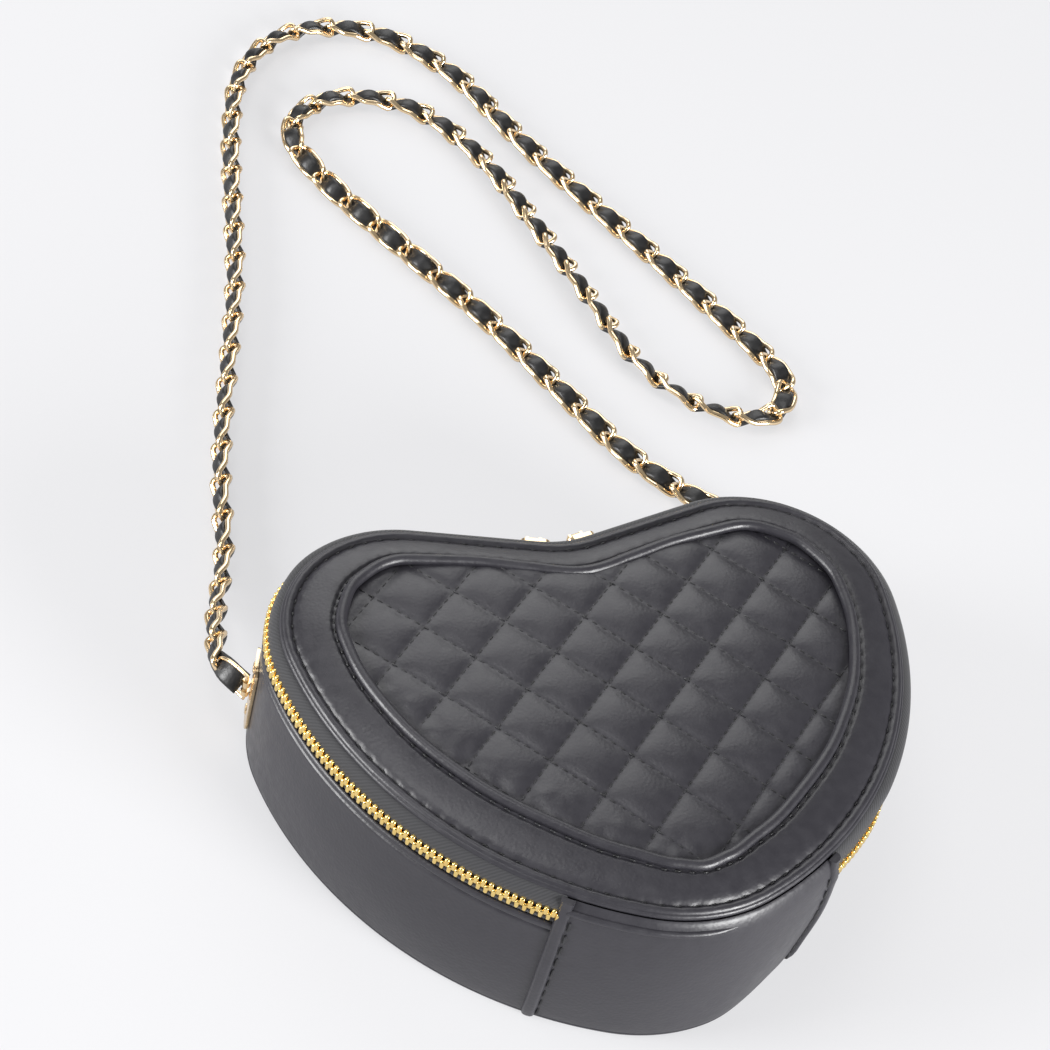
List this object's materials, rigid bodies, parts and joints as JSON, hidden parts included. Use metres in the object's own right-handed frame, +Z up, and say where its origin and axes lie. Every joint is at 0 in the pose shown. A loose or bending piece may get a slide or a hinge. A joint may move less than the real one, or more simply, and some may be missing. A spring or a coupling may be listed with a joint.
{
  "type": "heart shaped purse",
  "caption": "Heart shaped quilted purse lying on its back, with a zip round its side, a smooth piped border, gilt side plates and rings, and a chain strap laced with leather.",
  "frame": {"origin": "middle of the bag's footprint on the surface that it lies on", "axes": "+Z up out of the quilted front, +Y from the heart's tip to its notch, +X to the right seen from above"},
  "size_m": [0.2592, 0.4817, 0.0661],
  "materials": {
    "black_leather": "satin",
    "lining_fabric": "matte",
    "padding_foam": "matte",
    "stiff_board": "matte",
    "zip_tape": "matte",
    "gilt_metal": "polished"
  },
  "bodies": {
    "bag_body": {"tip_border": "black_leather", "tip_piping": "black_leather", "tip_ridge": "black_leather", "gusset_band": "black_leather", "gusset_tip_panel": "black_leather", "seam_welt_left": "black_leather", "seam_welt_right": "black_leather", "gusset_stiffener": "stiff_board", "gusset_lining": "lining_fabric", "lower_zip_tape": "zip_tape", "lower_zip_teeth": "gilt_metal", "zip_end_stops": "gilt_metal", "back_panel": "black_leather", "back_piping": "black_leather", "back_board": "stiff_board", "back_lining": "lining_fabric", "side_plate_left": "gilt_metal", "side_plate_right": "gilt_metal", "plate_rivets": "gilt_metal", "rivet_washers": "gilt_metal", "strap_lace": "black_leather", "strap_chain": "gilt_metal"},
    "front_flap": {"quilted_panel": "black_leather", "quilt_foam": "padding_foam", "inner_piping": "black_leather", "front_border": "black_leather", "border_padding": "padding_foam", "front_piping": "black_leather", "front_board": "stiff_board", "front_lining": "lining_fabric", "upper_zip_tape": "zip_tape", "upper_zip_teeth": "gilt_metal"},
    "slider_left": {"zip_slider_left": "gilt_metal"},
    "slider_right": {"zip_slider_right": "gilt_metal"},
    "pull_left": {"pull_tab_left": "gilt_metal"},
    "pull_right": {"pull_tab_right": "gilt_metal"},
    "ring_left": {"strap_ring_left": "gilt_metal", "strap_end_left": "black_leather"},
    "ring_right": {"strap_ring_right": "gilt_metal", "strap_end_right": "black_leather"}
  },
  "joints": [
    {"name": "flap_hinge", "type": "hinge", "parent": "bag_body", "child": "front_flap", "pos_m": [0, -0.065, 0.0639], "axis": [1, 0, 0], "range_deg": [0, 80], "deforming": ["upper_zip_tape", "upper_zip_teeth"]},
    {"name": "slider_left_run", "type": "slide", "parent": "bag_body", "child": "slider_left", "axis": [-0.9718, 0.2359, 0], "range_m": [0, 0.035], "deforming": ["upper_zip_teeth", "lower_zip_teeth"]},
    {"name": "slider_right_run", "type": "slide", "parent": "bag_body", "child": "slider_right", "axis": [0.9718, 0.2359, 0], "range_m": [0, 0.035], "deforming": ["upper_zip_teeth", "lower_zip_teeth"]},
    {"name": "pull_left_swing", "type": "hinge", "parent": "slider_left", "child": "pull_left", "pos_m": [-0.00736, 0.07368, 0.0525], "axis": [0.9718, -0.2359, 0], "range_deg": [0, 150]},
    {"name": "pull_right_swing", "type": "hinge", "parent": "slider_right", "child": "pull_right", "pos_m": [0.00736, 0.07368, 0.0525], "axis": [0.9718, 0.2359, 0], "range_deg": [0, 150]},
    {"name": "ring_left_swing", "type": "hinge", "parent": "bag_body", "child": "ring_left", "pos_m": [-0.10444, 0.05165, 0.0225], "axis": [0, 0, 1], "range_deg": [-45, 45], "deforming": ["strap_lace", "strap_chain"]},
    {"name": "ring_right_swing", "type": "hinge", "parent": "bag_body", "child": "ring_right", "pos_m": [0.10444, 0.05165, 0.0225], "axis": [0, 0, 1], "range_deg": [-45, 45], "deforming": ["strap_lace", "strap_chain"]}
  ]
}
